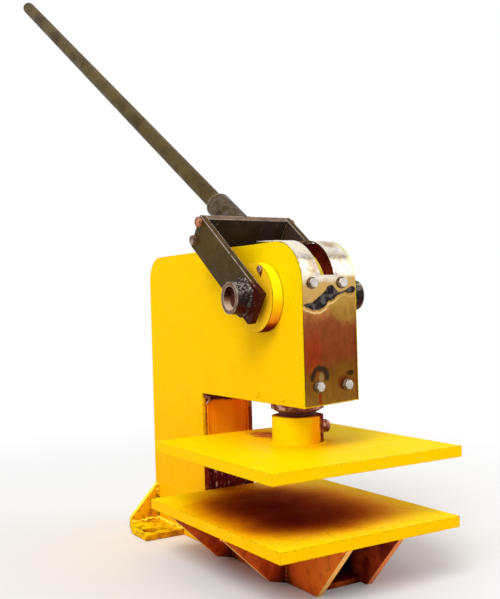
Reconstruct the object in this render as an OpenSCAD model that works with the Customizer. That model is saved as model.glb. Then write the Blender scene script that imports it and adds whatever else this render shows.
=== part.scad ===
// Hand-lever press for cutting soles: a C frame of welded plate, an eccentric shaft
// turned by a forked lever, and a round ram that carries the upper plate.
// Millimetres. X runs across the press, +Y to the rear, +Z up. The origin lies on the
// floor, midway between the two rear foot bolt holes.

/* [Frame] */
// Width across the outer faces of the two side plates
frame_w = 100; // [80:1:140]
// Thickness of each side plate
side_t = 10; // [6:0.5:14]
// Height of the top of the head above the floor
head_top_h = 510; // [490:1:620]
// Height of the underside of the head above the floor
head_under_h = 270; // [266:1:300]
// How much lower the left side plate's underside lies
left_drop = 5; // [0:1:8]
// Reach of the head in front of the shaft axis, without its cover
head_reach = 98; // [92:1:130]
// Throat depth, from the shaft axis back to the column
throat = 211; // [206:1:300]
// Depth of the column
column_d = 202; // [150:1:260]
// Radius of the upper front corner of the head
front_r = 70; // [50:1:74]
// Radius of the upper rear corner of the column
rear_r = 45; // [20:1:60]
// Thickness of the plates that close the frame between the side plates
web_t = 8; // [5:0.5:12]
// Thickness of the plate across the underside of the head
head_floor_t = 12; // [8:1:20]

/* [Bed] */
// Height of the bed surface above the floor
bed_h = 98; // [80:1:130]
// Width of the bed plate
bed_w = 315; // [260:1:400]
// Reach of the bed plate in front of the shaft axis
bed_front = 191; // [150:1:230]
// Gap between the bed plate and the column
bed_gap = 11; // [8:1:40]
// Thickness of the bed plate
bed_t = 16; // [10:1:25]
// Reach of the lowest point of the jaw in front of the shaft axis
jaw_toe = 117; // [80:1:140]
// Setback of the bottom plate behind the jaw's toe
bottom_setback = 15; // [0:1:40]
// Thickness of the ribs under the bed
rib_t = 8; // [5:1:12]
// Distance of the front ribs in front of the shaft axis
rib_front = 36; // [30:1:90]
// Distance of the rear ribs behind the shaft axis
rib_rear = 124; // [90:1:160]
// Width of a rib's foot beyond the side plate
rib_foot = 29; // [10:1:40]
// Height of the ribs' toes above the floor
rib_lift = 7; // [0:1:20]

/* [Feet] */
// Reach of each foot lug beyond its side plate
lug_reach = 75; // [60:1:110]
// Length of each foot lug in front of the bolt hole
lug_front = 30; // [30:1:60]
// Thickness of each foot lug
lug_t = 10; // [6:1:16]
// Distance of the foot bolt holes in front of the rear of the column
foot_inset = 85; // [70:1:100]
// Distance of each foot bolt hole out from its side plate
foot_reach = 52; // [30:1:58]
// Diameter of each foot bolt hole
foot_hole_d = 30; // [14:1:32]
// Size of the clipped corner of the lug, along the frame
lug_clip = 53; // [20:1:60]
// Height of the lug gusset where it meets the side plate
gusset_h = 78; // [40:1:110]

/* [Shaft and bearings] */
// Depth of the shaft axis below the top of the head
shaft_drop = 83; // [76:1:86]
// Diameter of the shaft
shaft_d = 36; // [28:1:40]
// Diameter of the round flange of each bearing housing
housing_d = 106; // [90:1:120]
// Thickness of that flange
housing_t = 19; // [12:1:26]
// Diameter of the housing's spigot, which fills the hole in the side plate
spigot_d = 64; // [56:1:72]
// Wall of each bearing bush
bush_wall = 5; // [3:0.5:8]
// Radial clearance between a shaft and its bush
run_gap = 0.08; // [0.05:0.01:0.1]
// Distance of the screw in each housing from its rim
housing_screw_inset = 5.5; // [5.5:0.5:14]
// Angle of that screw above the rear horizontal
housing_screw_angle = 117; // [60:1:140]

/* [Eccentric and crosshead] */
// Eccentricity of the disc on the shaft
throw = 12; // [8:0.5:13]
// Wall of the eccentric disc at its thinnest
eccentric_wall = 4; // [3:0.5:5]
// Angle of the eccentric forward of upright, with the ram up
eccentric_angle = 45; // [30:1:60]
// Thickness of the eccentric, its block and the crosshead
cross_t = 20; // [16:1:24]
// Least wall of the block that slides in the crosshead
block_wall = 5.5; // [4:0.5:7]
// Clearance above and below the block in the crosshead window
window_gap = 1.5; // [1.3:0.1:2]
// Least wall of the crosshead's round crown, at the corner of its window
crown_wall = 5.8; // [3:0.1:8]
// Thickness of the cheeks that keep the block in its window
cheek_t = 4; // [3:0.5:6]

/* [Ram] */
// Distance of the ram axis in front of the shaft axis, about the middle of the block's travel
ram_forward = 7.5; // [6:0.5:9]
// Diameter of the ram
ram_d = 58; // [54:1:62]
// Wall of the guide bush around the ram
guide_wall = 7; // [5:0.5:8]
// Gap left between guide and crosshead at the end of the stroke
guide_gap = 6; // [2:0.5:20]
// Reach of the guide bush's flange beyond the ram
gland_reach = 12; // [9:0.5:16]
// Thickness of that flange
gland_t = 20.5; // [18:0.5:24]
// Gap between guide bush and collar, with the ram up
neck_gap = 6; // [2:0.5:20]
// Wall of the collar on the upper plate
collar_wall = 11; // [8:0.5:16]
// Height of the collar
collar_h = 43.5; // [30:0.5:46]

/* [Upper plate] */
// Width of the upper plate
plate_w = 333; // [260:1:420]
// Reach of the upper plate in front of the shaft axis
plate_front = 190; // [150:1:240]
// Gap between the upper plate and the column
plate_gap = 51; // [10:1:90]
// Thickness of the upper plate
plate_t = 16; // [10:1:22]

/* [Front cover] */
// Width of side plate left bare on each side of the sheet cover
cover_margin = 2.5; // [0:0.5:6]
// Thickness of the sheet cover
cover_t = 2; // [1:0.25:3]
// How much tighter the cover is bent than the plates' corner
cover_tight = 5; // [0:0.5:8]
// Reach of the cover behind the shaft axis, over the top of the head
cover_tail = 22; // [5:1:40]
// Angle at which the cover's tail springs up from the head
cover_spring = 3; // [0:0.5:5]
// Width of the slot in the cover at its lower end
slot_w = 24; // [21:1:36]
// Flare of the slot's left side, up to the top of the head
slot_flare = 7; // [0:1:10]
// Sideways offset of that slot
slot_x = -3; // [-8:1:8]
// Height of the lower end of the slot above the floor
slot_h = 457; // [452:1:480]

/* [Lever] */
// Angle of the lever above the rear horizontal, with the ram up
rest_angle = 36.5; // [32:0.5:42]
// Gap between each bearing housing and the arm beside it
arm_gap = 9; // [4:0.5:20]
// Thickness of each arm and of the cross plate
arm_t = 10; // [8:1:14]
// Width of each arm
arm_w = 59; // [56:1:64]
// Offset of the arm's centre line from the shaft axis
arm_offset = 4.5; // [0:0.5:5]
// Length of the arm past the shaft axis
arm_tail = 38; // [30:1:46]
// Chamfer on the lower corner of the arm's end
arm_chamfer = 5; // [1:0.5:14]
// Thickness of the plate that joins the arms
cross_plate_t = 12; // [12:1:16]
// Wall of each hub
hub_wall = 6.5; // [5:0.5:8]
// Length of the left hub beyond its arm
left_hub_l = 24; // [16:1:40]
// Length of the right hub beyond its arm
right_hub_l = 37; // [16:1:40]
// Depth of the shaft end inside the hub
hub_recess = 12; // [4:1:14]

/* [Handle] */
// Wall of the socket on the cross plate
socket_wall = 6.7; // [3:0.1:9]
// Length of the socket
socket_l = 94; // [60:1:120]
// Offset of the handle's foot from the shaft axis, up the cross plate
handle_offset = 8.5; // [0:0.5:10]
// Angle at which socket and handle droop from square to the cross plate
handle_droop = 4; // [0:0.5:6]
// Diameter of the handle tube
handle_d = 31; // [26:0.5:34]
// Wall of the handle tube
handle_wall = 3; // [2:0.5:5]
// Length of the handle
handle_l = 1352; // [700:1:1500]

/* [Hidden] */
$fn = 96;

// A cut runs past the faces that it opens by this much.
cut = 1;
// Gap between pieces that turn or slide face to face.
face_gap = 0.3;
// Gap between the lever and the top of the head that stops it.
stop_gap = 0.5;

yellow = [0.98, 0.8, 0.05];
dark_paint = [0.22, 0.19, 0.13];
steel = [0.62, 0.62, 0.6];
rusty = [0.4, 0.24, 0.18];
bronze = [0.72, 0.52, 0.25];

// Frame
rear_y = foot_inset;
throat_y = rear_y - column_d;
shaft_y = throat_y - throat;
shaft_h = head_top_h - shaft_drop;
head_front_y = shaft_y - head_reach;
ram_y = shaft_y - ram_forward;
web_w = frame_w - 2 * side_t;
bed_back_y = throat_y - bed_gap;
foot_x = frame_w / 2 + foot_reach;
jaw_h = bed_h - bed_t;
front_plate_t = 10;
cover_r = front_r - cover_tight;
cover_w = frame_w - 2 * cover_margin;
// The front plate ends below the slot.
front_plate_top = slot_h - 9;

// Cover screws: sideways offsets of the upper and the lower pair, hand drilled
upper_screws = [-31, 22];
lower_screws = [-24, 27];
upper_screw_h = slot_h - 11.5;
lower_screw_h = head_under_h + 25;
cover_screw_d = 8;
washer_d = 17;
washer_t = 1.6;

// Bearings and shaft
bush_d = shaft_d + 2 * bush_wall;
sleeve_d = shaft_d + 5;
hub_d = shaft_d + 2 * hub_wall;
housing_screw_r = housing_d / 2 - housing_screw_inset;
housing_face = frame_w / 2 + housing_t;
housing_screw_d = 6;
hub_start = housing_face + 2;
key_w = 10;
key_h = 8;
hub_key_l = 22;

// Eccentric, block and crosshead
eccentric_r = shaft_d / 2 + throw + eccentric_wall;
block_half = eccentric_r + block_wall;
eccentric_y = -throw * sin(eccentric_angle);
eccentric_z = throw * cos(eccentric_angle);
// The block's centre runs between these two places, both in front of the shaft axis.
block_front_y = -throw;
lever_range = 105;
block_rear_y = -throw * sin(eccentric_angle + lever_range);
ram_stroke = throw * (cos(eccentric_angle) - cos(eccentric_angle + lever_range));
window_side_gap = 1.5;
// The window, from the ram axis and the shaft axis.
window_y = ram_forward + block_front_y - block_half - window_side_gap;
window_w = block_rear_y - block_front_y + 2 * (block_half + window_side_gap);
window_z = eccentric_z - block_half - window_gap;
window_h = 2 * (block_half + window_gap);
crown_r = norm([window_y, window_z + window_h]) + crown_wall;
crown_drop = 62;
// The folded back plate ends behind the crown.
back_plate_front_y = ram_y + crown_r + 16;
tongue_w = ram_d - 8;
tongue_l = 50;
cheek_lap = 5;
cheek_screw_d = 4;

// Ram and upper plate
plate_top_h = head_under_h - gland_t - neck_gap - collar_h;
plate_under_h = plate_top_h - plate_t;
ram_top_h = shaft_h - crown_drop;
ram_l = ram_top_h - plate_top_h;
guide_top_h = ram_top_h - ram_stroke - guide_gap;
guide_d = ram_d + 2 * guide_wall;
gland_d = ram_d + 2 * gland_reach;
gland_rim = 15;
gland_lip = 2;
collar_d = ram_d + 2 * collar_wall;
pin_d = 10;
set_bolt_d = 12;
set_bolt_h = collar_h / 2;
nut_t = 8;
nut_af = 18;
nut_x = collar_d / 2 + 0.5;
bolt_head_x = nut_x + nut_t + 0.5;

// Lever
lever_low = arm_w / 2 - arm_offset;
// The cross plate's lower inner edge comes down on the top of the head.
cross_inner = (head_top_h + stop_gap - shaft_h + lever_low * cos(rest_angle)) / sin(rest_angle);
arm_reach = cross_inner + cross_plate_t;
yoke_inner = housing_face + arm_gap;
yoke_half = yoke_inner + arm_t;
yoke_bolt_d = 10;
yoke_bolt_l = 30;
yoke_bolt_rise = [arm_offset - arm_w / 2 + 14, arm_offset + arm_w / 2 - 9.5];
socket_bore = handle_d + 2 * face_gap;
socket_d = socket_bore + 2 * socket_wall;
handle_inset = 5;

module side_at(side) {
    mirror([side < 0 ? 1 : 0, 0, 0]) children();
}

// Extrudes an outline drawn in Y and Z along X, from x0 to x1.
module slab_yz(x0, x1) {
    translate([x0, 0, 0])
        rotate([90, 0, 90])
            linear_extrude(x1 - x0) children();
}

// Extrudes an outline drawn in X and Z along Y, from y0 to y1.
module slab_xz(y0, y1) {
    translate([0, y1, 0])
        rotate([90, 0, 0])
            linear_extrude(y1 - y0) children();
}

module rod_x(d, x0, x1) {
    translate([x0, 0, 0])
        rotate([0, 90, 0]) cylinder(d = d, h = x1 - x0);
}

module rod_y(d, y0, y1) {
    translate([0, y0, 0])
        rotate([-90, 0, 0]) cylinder(d = d, h = y1 - y0);
}

module at_shaft() {
    translate([0, shaft_y, shaft_h]) children();
}

module at_lever() {
    at_shaft() rotate([rest_angle, 0, 0]) children();
}

// Hexagon head along +X from x = 0, across flats af.
module hex_head(af, h) {
    rotate([0, 90, 0]) cylinder(d = af / cos(30), h = h, $fn = 6);
}

// The head's lower edge slopes from the left side plate up to the right one.
function under_at(x) = head_under_h - left_drop * (0.5 - x / frame_w);

// C outline of a side plate whose head ends at under_h.
module frame_outline(under_h) {
    difference() {
        translate([head_front_y, 0]) square([rear_y - head_front_y, head_top_h]);
        // throat
        translate([head_front_y - cut, jaw_h])
            square([throat_y - head_front_y + cut, under_h - jaw_h]);
        // front of the jaw, added below
        translate([head_front_y - cut, -cut])
            square([throat_y - head_front_y + cut, jaw_h + 2 * cut]);
        corner_cut(head_front_y, head_top_h, front_r, 1);
        corner_cut(rear_y, head_top_h, rear_r, -1);
    }
    polygon([
        [throat_y, 0], [throat_y, jaw_h],
        [shaft_y - bed_front, jaw_h], [shaft_y - jaw_toe, 0]
    ]);
}

// Rounds the upper corner at (y, z); dir points from the corner into the plate.
module corner_cut(y, z, r, dir) {
    difference() {
        translate([dir > 0 ? y - cut : y - r, z - r]) square([r + cut, r + cut]);
        translate([y + dir * r, z - r]) circle(r = r);
    }
}

module side_plate(side) {
    color(yellow) side_at(side) difference() {
        slab_yz(web_w / 2, frame_w / 2) frame_outline(under_at(side * frame_w / 2));
        at_shaft() rod_x(spigot_d, web_w / 2 - cut, frame_w / 2 + cut);
        at_housing_screw()
            rod_x(housing_screw_d, web_w / 2 - cut, frame_w / 2 + cut);
    }
}

module throat_plate() {
    color(yellow)
        translate([-web_w / 2, throat_y, web_t])
            cube([web_w, web_t, head_under_h + head_floor_t - web_t]);
}

// Folded plate: up the back of the column, round the corner and forward over the top.
module back_plate() {
    color(yellow) slab_yz(-web_w / 2, web_w / 2) {
        translate([rear_y - web_t, web_t]) square([web_t, head_top_h - rear_r - web_t]);
        translate([back_plate_front_y, head_top_h - web_t])
            square([rear_y - rear_r - back_plate_front_y, web_t]);
        intersection() {
            translate([rear_y - rear_r, head_top_h - rear_r]) difference() {
                circle(r = rear_r);
                circle(r = rear_r - web_t);
            }
            translate([rear_y - rear_r, head_top_h - rear_r]) square(rear_r);
        }
    }
}

module bottom_plate() {
    color(yellow)
        translate([-web_w / 2, shaft_y - jaw_toe + bottom_setback, 0])
            cube([web_w, rear_y - shaft_y + jaw_toe - bottom_setback, web_t]);
}

module head_floor_plate() {
    color(yellow) difference() {
        translate([-web_w / 2, head_front_y + front_plate_t, head_under_h])
            cube([web_w, throat_y - head_front_y - front_plate_t, head_floor_t]);
        translate([0, ram_y, head_under_h - cut])
            cylinder(d = guide_d, h = head_floor_t + 2 * cut);
    }
}

module at_cover_screws() {
    for (x = upper_screws) translate([x, head_front_y, upper_screw_h]) children();
    for (x = lower_screws) translate([x, head_front_y, lower_screw_h]) children();
}

module front_plate() {
    color(yellow) difference() {
        slab_xz(head_front_y, head_front_y + front_plate_t) polygon([
            [-web_w / 2, under_at(-web_w / 2)], [web_w / 2, under_at(web_w / 2)],
            [web_w / 2, front_plate_top], [-web_w / 2, front_plate_top]
        ]);
        slab_yz(-web_w, web_w) corner_cut(head_front_y, head_top_h, front_r, 1);
        at_cover_screws() rod_y(cover_screw_d, -cut, front_plate_t + cut);
    }
}

// Sheet cover: up the front, round the corner and back over the head, with a slot.
module front_cover() {
    bend_y = head_front_y + cover_r;
    bend_z = head_top_h - cover_r;
    tail_l = (shaft_y + cover_tail - bend_y) / cos(cover_spring) + cover_r * sin(cover_spring);
    slot_left = slot_x - slot_w / 2;
    slot_right = slot_x + slot_w / 2;
    color(steel) difference() {
        slab_yz(-cover_w / 2, cover_w / 2) {
            translate([head_front_y - cover_t, under_at(-cover_w / 2)])
                square([cover_t, bend_z - under_at(-cover_w / 2)]);
            intersection() {
                translate([bend_y, bend_z]) difference() {
                    circle(r = cover_r + cover_t);
                    circle(r = cover_r);
                }
                translate([bend_y, bend_z]) polygon([
                    [0, 0], [-2 * cover_r, 0], [-2 * cover_r, 2 * cover_r],
                    [-2 * cover_r * sin(cover_spring), 2 * cover_r * cos(cover_spring)]
                ]);
            }
            translate([bend_y, bend_z])
                rotate(cover_spring) translate([-0.2, cover_r]) square([tail_l, cover_t]);
        }
        slab_xz(head_front_y - 2 * cover_t, head_front_y + cut) polygon([
            [-frame_w, head_under_h - frame_w], [frame_w, head_under_h - frame_w],
            [frame_w, under_at(frame_w) + cover_t], [-frame_w, under_at(-frame_w) + cover_t]
        ]);
        slab_xz(head_front_y - cover_r, shaft_y + cover_tail - 17) polygon([
            [slot_left, slot_h], [slot_right, slot_h], [slot_right, head_top_h + cover_r],
            [slot_left - slot_flare, head_top_h + cover_r], [slot_left - slot_flare, head_top_h]
        ]);
        at_cover_screws() rod_y(cover_screw_d, -cover_t - cut, cut);
    }
}

module cover_screws() {
    color(steel) at_cover_screws() {
        rod_y(cover_screw_d, -cover_t - washer_t, front_plate_t);
        translate([0, -cover_t - washer_t, 0])
            rotate([0, 0, -90]) hex_head(13, 5.3);
    }
}

module cover_washers() {
    color(steel) at_cover_screws() difference() {
        rod_y(washer_d, -cover_t - washer_t, -cover_t);
        rod_y(cover_screw_d, -cover_t - washer_t - cut, -cover_t + cut);
    }
}

module guide_block() {
    block_l = guide_d + 18;
    color(yellow) difference() {
        translate([-web_w / 2, ram_y - block_l / 2, head_under_h + head_floor_t])
            cube([web_w, block_l, guide_top_h - head_under_h - head_floor_t]);
        translate([0, ram_y, head_under_h])
            cylinder(d = guide_d, h = guide_top_h - head_under_h + cut);
    }
}

// Turned bush with a flange under the head, narrowed to pass the left side plate's edge
// and tapered towards the ram.
module guide_bush() {
    bore_r = ram_d / 2 + run_gap;
    seat_r = min(gland_d, web_w) / 2 - face_gap;
    seat_l = left_drop + face_gap;
    color(rusty) translate([0, ram_y, head_under_h]) rotate_extrude() polygon([
        [bore_r, -gland_t], [ram_d / 2 + gland_lip, -gland_t],
        [gland_d / 2, -gland_rim], [gland_d / 2, -seat_l], [seat_r, -seat_l], [seat_r, 0],
        [guide_d / 2, 0], [guide_d / 2, guide_top_h - head_under_h],
        [bore_r, guide_top_h - head_under_h]
    ]);
}

module bed_plate() {
    color(yellow)
        translate([-bed_w / 2, shaft_y - bed_front, jaw_h])
            cube([bed_w, bed_back_y - shaft_y + bed_front, bed_t]);
}

// Gusset from the foot of the side plate out to the edge of the bed.
module rib(side, y) {
    half = frame_w / 2;
    color(yellow) side_at(side) slab_xz(y - rib_t / 2, y + rib_t / 2)
        polygon([[half, 0], [half + rib_foot, rib_lift], [bed_w / 2, jaw_h], [half, jaw_h]]);
}

module foot_lug(side) {
    half = frame_w / 2;
    color(yellow) side_at(side) difference() {
        linear_extrude(lug_t) polygon([
            [half, -lug_front], [half + lug_reach, -lug_front],
            [half + lug_reach, rear_y - lug_clip],
            [half + lug_reach - lug_clip / 3, rear_y], [half, rear_y]
        ]);
        translate([foot_x, 0, -cut])
            cylinder(d = foot_hole_d, h = lug_t + 2 * cut);
    }
}

module lug_gusset(side) {
    half = frame_w / 2;
    outer = half + lug_reach - lug_clip / 3;
    color(yellow) side_at(side) slab_xz(rear_y - lug_t, rear_y) polygon([
        [half, lug_t], [half, gusset_h], [outer - 2, 2 * lug_t], [outer, lug_t]
    ]);
}

module at_housing_screw() {
    at_shaft() rotate([housing_screw_angle, 0, 0])
        translate([0, housing_screw_r, 0]) children();
}

module bearing_housing(side) {
    color(yellow) side_at(side) difference() {
        at_shaft() {
            rod_x(housing_d, frame_w / 2, housing_face);
            rod_x(spigot_d, web_w / 2, frame_w / 2 + cut);
        }
        at_shaft() rod_x(bush_d, web_w / 2 - cut, housing_face + cut);
        at_housing_screw() rod_x(housing_screw_d, frame_w / 2 - cut, housing_face + cut);
    }
}

module bearing_bush(side) {
    color(bronze) side_at(side) at_shaft() difference() {
        rod_x(bush_d, web_w / 2, housing_face);
        rod_x(shaft_d + 2 * run_gap, web_w / 2 - cut, housing_face + cut);
    }
}

module housing_screws() {
    color(steel) for (side = [-1, 1]) side_at(side) at_housing_screw() {
        rod_x(housing_screw_d, web_w / 2, housing_face);
        translate([housing_face, 0, 0]) hex_head(10, 4);
    }
}

// Each shaft end lies recessed in its hub.
function hub_end(side) = yoke_half + (side < 0 ? left_hub_l : right_hub_l);
function shaft_end(side) = hub_end(side) - hub_recess;

// Key seat along X, cut into the shaft and into what turns with it.
module key_seat(x0, x1) {
    translate([x0, -key_w / 2, shaft_d / 2 - key_h / 2]) cube([x1 - x0, key_w, key_h]);
}

module hub_key_seats() {
    for (side = [-1, 1]) side_at(side)
        key_seat(shaft_end(side) - hub_key_l, shaft_end(side));
}

module eccentric_key_seat() {
    key_seat(-cross_t / 2, cross_t / 2);
}

module shaft() {
    color(steel) at_lever() difference() {
        rod_x(shaft_d, -shaft_end(-1), shaft_end(1));
        hub_key_seats();
        eccentric_key_seat();
    }
}

module hub_keys() {
    color(steel) at_lever() hub_key_seats();
}

module eccentric_key() {
    color(steel) at_lever() eccentric_key_seat();
}

module at_eccentric() {
    at_shaft() translate([0, eccentric_y, eccentric_z]) children();
}

module eccentric() {
    color(steel) difference() {
        at_eccentric() rod_x(2 * eccentric_r, -cross_t / 2, cross_t / 2);
        at_shaft() rod_x(shaft_d, -cross_t / 2 - cut, cross_t / 2 + cut);
        at_lever() eccentric_key_seat();
    }
}

module spacer_sleeves() {
    color(steel) for (side = [-1, 1]) side_at(side) at_shaft() difference() {
        rod_x(sleeve_d, cross_t / 2, web_w / 2 - face_gap);
        rod_x(shaft_d, cross_t / 2 - cut, web_w / 2);
    }
}

module arm_outline() {
    difference() {
        translate([-arm_tail, -lever_low]) square([arm_tail + arm_reach, arm_w]);
        translate([-arm_tail, -lever_low]) rotate(45)
            square(arm_chamfer * sqrt(2), center = true);
    }
}

module at_yoke_bolts() {
    for (rise = yoke_bolt_rise)
        translate([0, arm_reach - cross_plate_t / 2, rise]) children();
}

module arm(side) {
    color(dark_paint) side_at(side) at_lever() difference() {
        slab_yz(yoke_inner, yoke_half) arm_outline();
        rod_x(hub_d, yoke_inner - cut, yoke_half + cut);
        at_yoke_bolts() rod_x(yoke_bolt_d, yoke_inner - cut, yoke_half + cut);
    }
}

module hub(side) {
    color(dark_paint) side_at(side) at_lever() difference() {
        rod_x(hub_d, hub_start, hub_end(side));
        rod_x(shaft_d, hub_start - cut, hub_end(side) + cut);
        key_seat(shaft_end(side) - hub_key_l, shaft_end(side));
    }
}

module cross_plate() {
    color(dark_paint) at_lever() difference() {
        translate([-yoke_inner, cross_inner, -lever_low])
            cube([2 * yoke_inner, cross_plate_t, arm_w]);
        for (side = [-1, 1]) side_at(side) at_yoke_bolts()
            rod_x(yoke_bolt_d, yoke_half - yoke_bolt_l, yoke_inner + cut);
    }
}

module yoke_bolts() {
    color(steel) at_lever() for (side = [-1, 1]) side_at(side) at_yoke_bolts() {
        rod_x(yoke_bolt_d, yoke_half - yoke_bolt_l, yoke_half);
        translate([yoke_half, 0, 0]) hex_head(15, 6.4);
    }
}

module at_handle() {
    at_lever() translate([0, arm_reach, handle_offset])
        rotate([-handle_droop, 0, 0]) children();
}

// Boss trimmed at its foot to the face of the cross plate.
module handle_socket() {
    color(dark_paint) difference() {
        at_handle() rod_y(socket_d, -handle_inset, socket_l);
        at_handle() rod_y(socket_bore, -handle_inset - cut, socket_l + cut);
        at_lever() translate([-socket_d, arm_reach - socket_d, -socket_d])
            cube([2 * socket_d, socket_d, 3 * socket_d]);
    }
}

// Tube closed by a round nose at its far end, pushed into the socket.
module handle() {
    r = handle_d / 2;
    inner = r - handle_wall;
    color(dark_paint) at_handle() translate([0, handle_inset, 0])
        rotate([-90, 0, 0]) rotate_extrude() difference() {
            union() {
                square([r, handle_l - r]);
                intersection() {
                    translate([0, handle_l - r]) circle(r = r);
                    translate([0, handle_l - r]) square(r);
                }
            }
            translate([-cut, -cut]) square([inner + cut, handle_l - r + cut]);
        }
}

module at_cheek_screws() {
    corner = block_half - 7;
    for (y = [-corner, corner], z = [-corner, corner]) translate([0, y, z]) children();
}

module slide_block() {
    color(bronze) at_eccentric() difference() {
        translate([-cross_t / 2 - face_gap, -block_half, -block_half])
            cube([cross_t + 2 * face_gap, 2 * block_half, 2 * block_half]);
        rod_x(2 * (eccentric_r + run_gap), -cross_t, cross_t);
        at_cheek_screws() rod_x(cheek_screw_d, -cross_t, cross_t);
    }
}

// Cheeks on both faces of the block, lapping over the crosshead.
module block_cheeks() {
    color(steel) for (side = [-1, 1]) side_at(side) at_eccentric() difference() {
        translate([cross_t / 2 + face_gap, -block_half, -block_half - cheek_lap])
            cube([cheek_t, 2 * block_half, 2 * (block_half + cheek_lap)]);
        rod_x(2 * eccentric_r, cross_t / 2 - cut, cross_t);
        at_cheek_screws() rod_x(cheek_screw_d, cross_t / 2 - cut, cross_t);
    }
}

module cheek_screws() {
    end = cross_t / 2 + face_gap + cheek_t;
    color(steel) at_eccentric() at_cheek_screws() {
        rod_x(cheek_screw_d, -end, end);
        rod_x(7, -end - 2, -end);
        rod_x(7, end, end + 2);
    }
}

// Round plate with a window for the block and a tongue down into the ram.
module crosshead() {
    color(yellow) difference() {
        translate([0, ram_y, shaft_h]) slab_yz(-cross_t / 2, cross_t / 2) difference() {
            union() {
                intersection() {
                    circle(r = crown_r);
                    translate([-crown_r, -crown_drop]) square(2 * crown_r);
                }
                translate([-tongue_w / 2, -crown_drop - tongue_l])
                    square([tongue_w, tongue_l + cut]);
            }
            translate([window_y, window_z]) square([window_w, window_h]);
        }
        at_crosshead_pins() rod_x(pin_d, -cross_t, cross_t);
    }
}

module at_crosshead_pins() {
    for (drop = [0.3, 0.7]) translate([0, ram_y, ram_top_h - drop * tongue_l]) children();
}

module crosshead_pins() {
    pin_half = ram_d / 2 - 2;
    color(steel) at_crosshead_pins() rod_x(pin_d, -pin_half, pin_half);
}

module ram() {
    color(steel) difference() {
        translate([0, ram_y, plate_top_h]) cylinder(d = ram_d, h = ram_l);
        translate([-cross_t / 2, ram_y - ram_d, ram_top_h - tongue_l])
            cube([cross_t, 2 * ram_d, tongue_l + cut]);
        at_crosshead_pins() rod_x(pin_d, -ram_d, ram_d);
    }
}

module collar() {
    color(yellow) translate([0, ram_y, plate_top_h]) difference() {
        cylinder(d = collar_d, h = collar_h);
        translate([0, 0, -cut]) cylinder(d = ram_d, h = collar_h + 2 * cut);
        translate([0, 0, set_bolt_h]) rod_x(set_bolt_d, 0, collar_d);
    }
}

module at_set_bolt() {
    translate([0, ram_y, plate_top_h + set_bolt_h]) children();
}

module set_bolt() {
    color(steel) at_set_bolt() {
        rod_x(set_bolt_d, ram_d / 2, bolt_head_x);
        translate([bolt_head_x, 0, 0]) hex_head(nut_af, 7.5);
    }
}

module lock_nut() {
    color(steel) at_set_bolt() difference() {
        translate([nut_x, 0, 0]) hex_head(nut_af, nut_t);
        rod_x(set_bolt_d, nut_x - cut, nut_x + nut_t + cut);
    }
}

module upper_plate() {
    color(yellow)
        translate([-plate_w / 2, shaft_y - plate_front, plate_under_h])
            cube([plate_w, throat_y - plate_gap - shaft_y + plate_front, plate_t]);
}

side_plate(-1);  // left_side_plate
side_plate(1);  // right_side_plate
throat_plate();
back_plate();
head_floor_plate();
bottom_plate();
front_plate();
guide_block();
guide_bush();
front_cover();
cover_screws();
cover_washers();
bed_plate();
rib(-1, shaft_y - rib_front);  // left_front_rib
rib(1, shaft_y - rib_front);  // right_front_rib
rib(-1, shaft_y + rib_rear);  // left_rear_rib
rib(1, shaft_y + rib_rear);  // right_rear_rib
foot_lug(-1);  // left_foot_lug
foot_lug(1);  // right_foot_lug
lug_gusset(-1);  // left_lug_gusset
lug_gusset(1);  // right_lug_gusset
bearing_housing(-1);  // left_bearing_housing
bearing_housing(1);  // right_bearing_housing
bearing_bush(-1);  // left_bearing_bush
bearing_bush(1);  // right_bearing_bush
housing_screws();
shaft();
eccentric();
eccentric_key();
spacer_sleeves();
hub_keys();
arm(-1);  // left_arm
arm(1);  // right_arm
hub(-1);  // left_hub
hub(1);  // right_hub
cross_plate();
yoke_bolts();
handle_socket();
handle();
slide_block();
block_cheeks();
cheek_screws();
crosshead();
crosshead_pins();
ram();
collar();
set_bolt();
lock_nut();
upper_plate();
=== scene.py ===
"""Looks for the sole cutting machine: finishes for every CAD node, welds and fastener heads, studio
and camera."""

import math

import bmesh
import bpy
from mathutils import Matrix, Quaternion, Vector, noise


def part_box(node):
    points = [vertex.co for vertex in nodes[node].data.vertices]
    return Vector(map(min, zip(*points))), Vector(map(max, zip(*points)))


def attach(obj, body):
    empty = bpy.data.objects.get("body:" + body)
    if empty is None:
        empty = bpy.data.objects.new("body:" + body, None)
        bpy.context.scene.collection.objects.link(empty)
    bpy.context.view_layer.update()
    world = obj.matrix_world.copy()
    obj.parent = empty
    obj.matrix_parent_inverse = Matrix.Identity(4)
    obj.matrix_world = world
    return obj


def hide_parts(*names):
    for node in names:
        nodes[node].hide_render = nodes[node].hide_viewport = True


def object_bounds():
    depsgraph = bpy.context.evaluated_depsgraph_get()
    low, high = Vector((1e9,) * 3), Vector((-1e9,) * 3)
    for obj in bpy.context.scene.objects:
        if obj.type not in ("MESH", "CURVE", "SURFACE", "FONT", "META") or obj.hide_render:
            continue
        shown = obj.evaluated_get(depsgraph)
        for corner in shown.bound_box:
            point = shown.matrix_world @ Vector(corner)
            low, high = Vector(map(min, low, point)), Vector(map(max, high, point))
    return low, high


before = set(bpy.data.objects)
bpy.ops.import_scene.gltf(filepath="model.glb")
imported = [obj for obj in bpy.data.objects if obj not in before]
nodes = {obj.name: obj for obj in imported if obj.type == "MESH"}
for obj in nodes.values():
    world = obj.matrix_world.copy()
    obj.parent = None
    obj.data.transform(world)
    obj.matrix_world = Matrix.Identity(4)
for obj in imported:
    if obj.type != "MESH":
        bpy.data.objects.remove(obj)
cad_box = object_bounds()

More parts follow.
